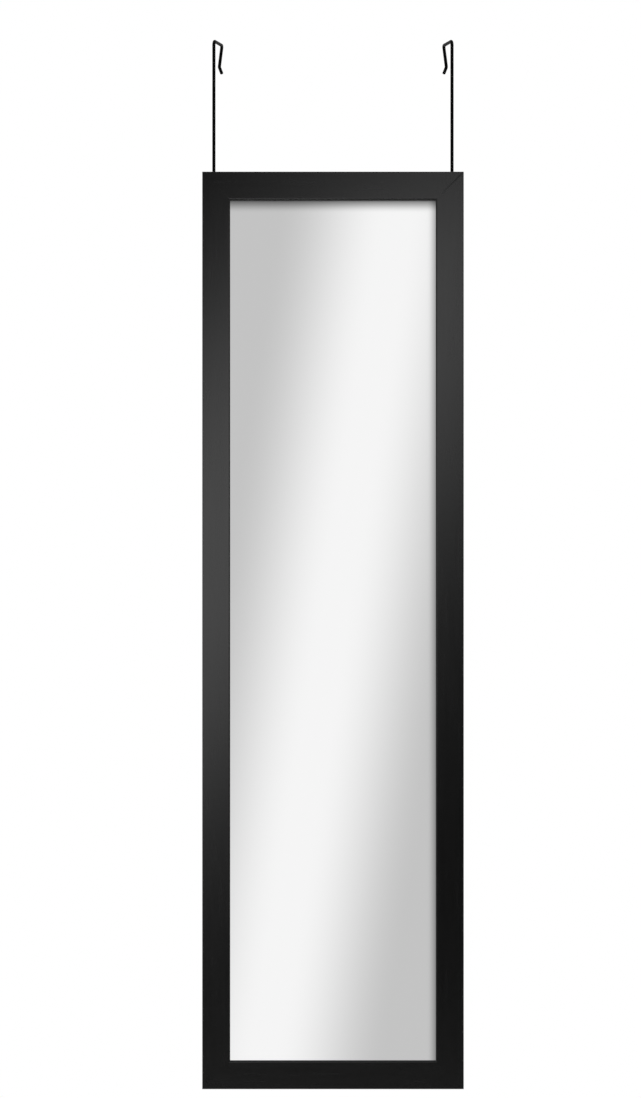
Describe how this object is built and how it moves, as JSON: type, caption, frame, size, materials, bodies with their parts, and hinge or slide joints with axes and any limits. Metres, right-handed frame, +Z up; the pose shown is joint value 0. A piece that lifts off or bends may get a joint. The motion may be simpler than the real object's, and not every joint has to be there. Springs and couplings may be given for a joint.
{
  "type": "over-the-door mirror",
  "caption": "Tall framed mirror with a mitred black moulding, hung over a door by bent wire hooks that swivel in saddles on its back.",
  "frame": {"origin": "on the door that the mirror hangs on: in the plane of the door's face, at the height of the door's top edge where the hooks rest, in the middle of the mirror's width", "axes": "+X to the right as the viewer faces the mirror, +Y into the door, +Z up"},
  "size_m": [0.3646, 0.0702, 1.4664],
  "materials": {
    "moulding": "satin near-black, smooth",
    "mirror_glass": "silvered float glass",
    "hardboard": "smooth brown hardboard",
    "fastener_steel": "bare spring steel",
    "zinc_plated_steel": "bright zinc plate",
    "coated_wire": "satin black powder coat on steel wire",
    "bumper_rubber": "matt black rubber"
  },
  "bodies": {
    "frame": {"top_rail": "moulding", "bottom_rail": "moulding", "left_stile": "moulding", "right_stile": "moulding", "mirror_glass": "mirror_glass", "backing_board": "hardboard", "top_left_v_nail_outer": "fastener_steel", "top_left_v_nail_inner": "fastener_steel", "top_right_v_nail_outer": "fastener_steel", "top_right_v_nail_inner": "fastener_steel", "bottom_left_v_nail_outer": "fastener_steel", "bottom_left_v_nail_inner": "fastener_steel", "bottom_right_v_nail_outer": "fastener_steel", "bottom_right_v_nail_inner": "fastener_steel", "left_glazing_point_1": "fastener_steel", "left_glazing_point_2": "fastener_steel", "left_glazing_point_3": "fastener_steel", "left_glazing_point_4": "fastener_steel", "right_glazing_point_1": "fastener_steel", "right_glazing_point_2": "fastener_steel", "right_glazing_point_3": "fastener_steel", "right_glazing_point_4": "fastener_steel", "top_glazing_point_1": "fastener_steel", "top_glazing_point_2": "fastener_steel", "bottom_glazing_point_1": "fastener_steel", "bottom_glazing_point_2": "fastener_steel", "left_upper_saddle": "zinc_plated_steel", "left_lower_saddle": "zinc_plated_steel", "right_upper_saddle": "zinc_plated_steel", "right_lower_saddle": "zinc_plated_steel", "left_upper_screw_outer": "zinc_plated_steel", "left_upper_screw_inner": "zinc_plated_steel", "left_lower_screw_outer": "zinc_plated_steel", "left_lower_screw_inner": "zinc_plated_steel", "right_upper_screw_outer": "zinc_plated_steel", "right_upper_screw_inner": "zinc_plated_steel", "right_lower_screw_outer": "zinc_plated_steel", "right_lower_screw_inner": "zinc_plated_steel", "left_bumper": "bumper_rubber", "right_bumper": "bumper_rubber"},
    "left_hanger": {"left_hanger_wire": "coated_wire"},
    "right_hanger": {"right_hanger_wire": "coated_wire"}
  },
  "joints": [
    {"name": "left_hanger_swivel", "type": "hinge", "parent": "frame", "child": "left_hanger", "pos_m": [-0.16665, -0.00355, 0], "axis": [0, 0, -1], "range_deg": [-12.1, 77.9]},
    {"name": "right_hanger_swivel", "type": "hinge", "parent": "frame", "child": "right_hanger", "pos_m": [0.16665, -0.00355, 0], "axis": [0, 0, 1], "range_deg": [-12.1, 77.9]}
  ]
}
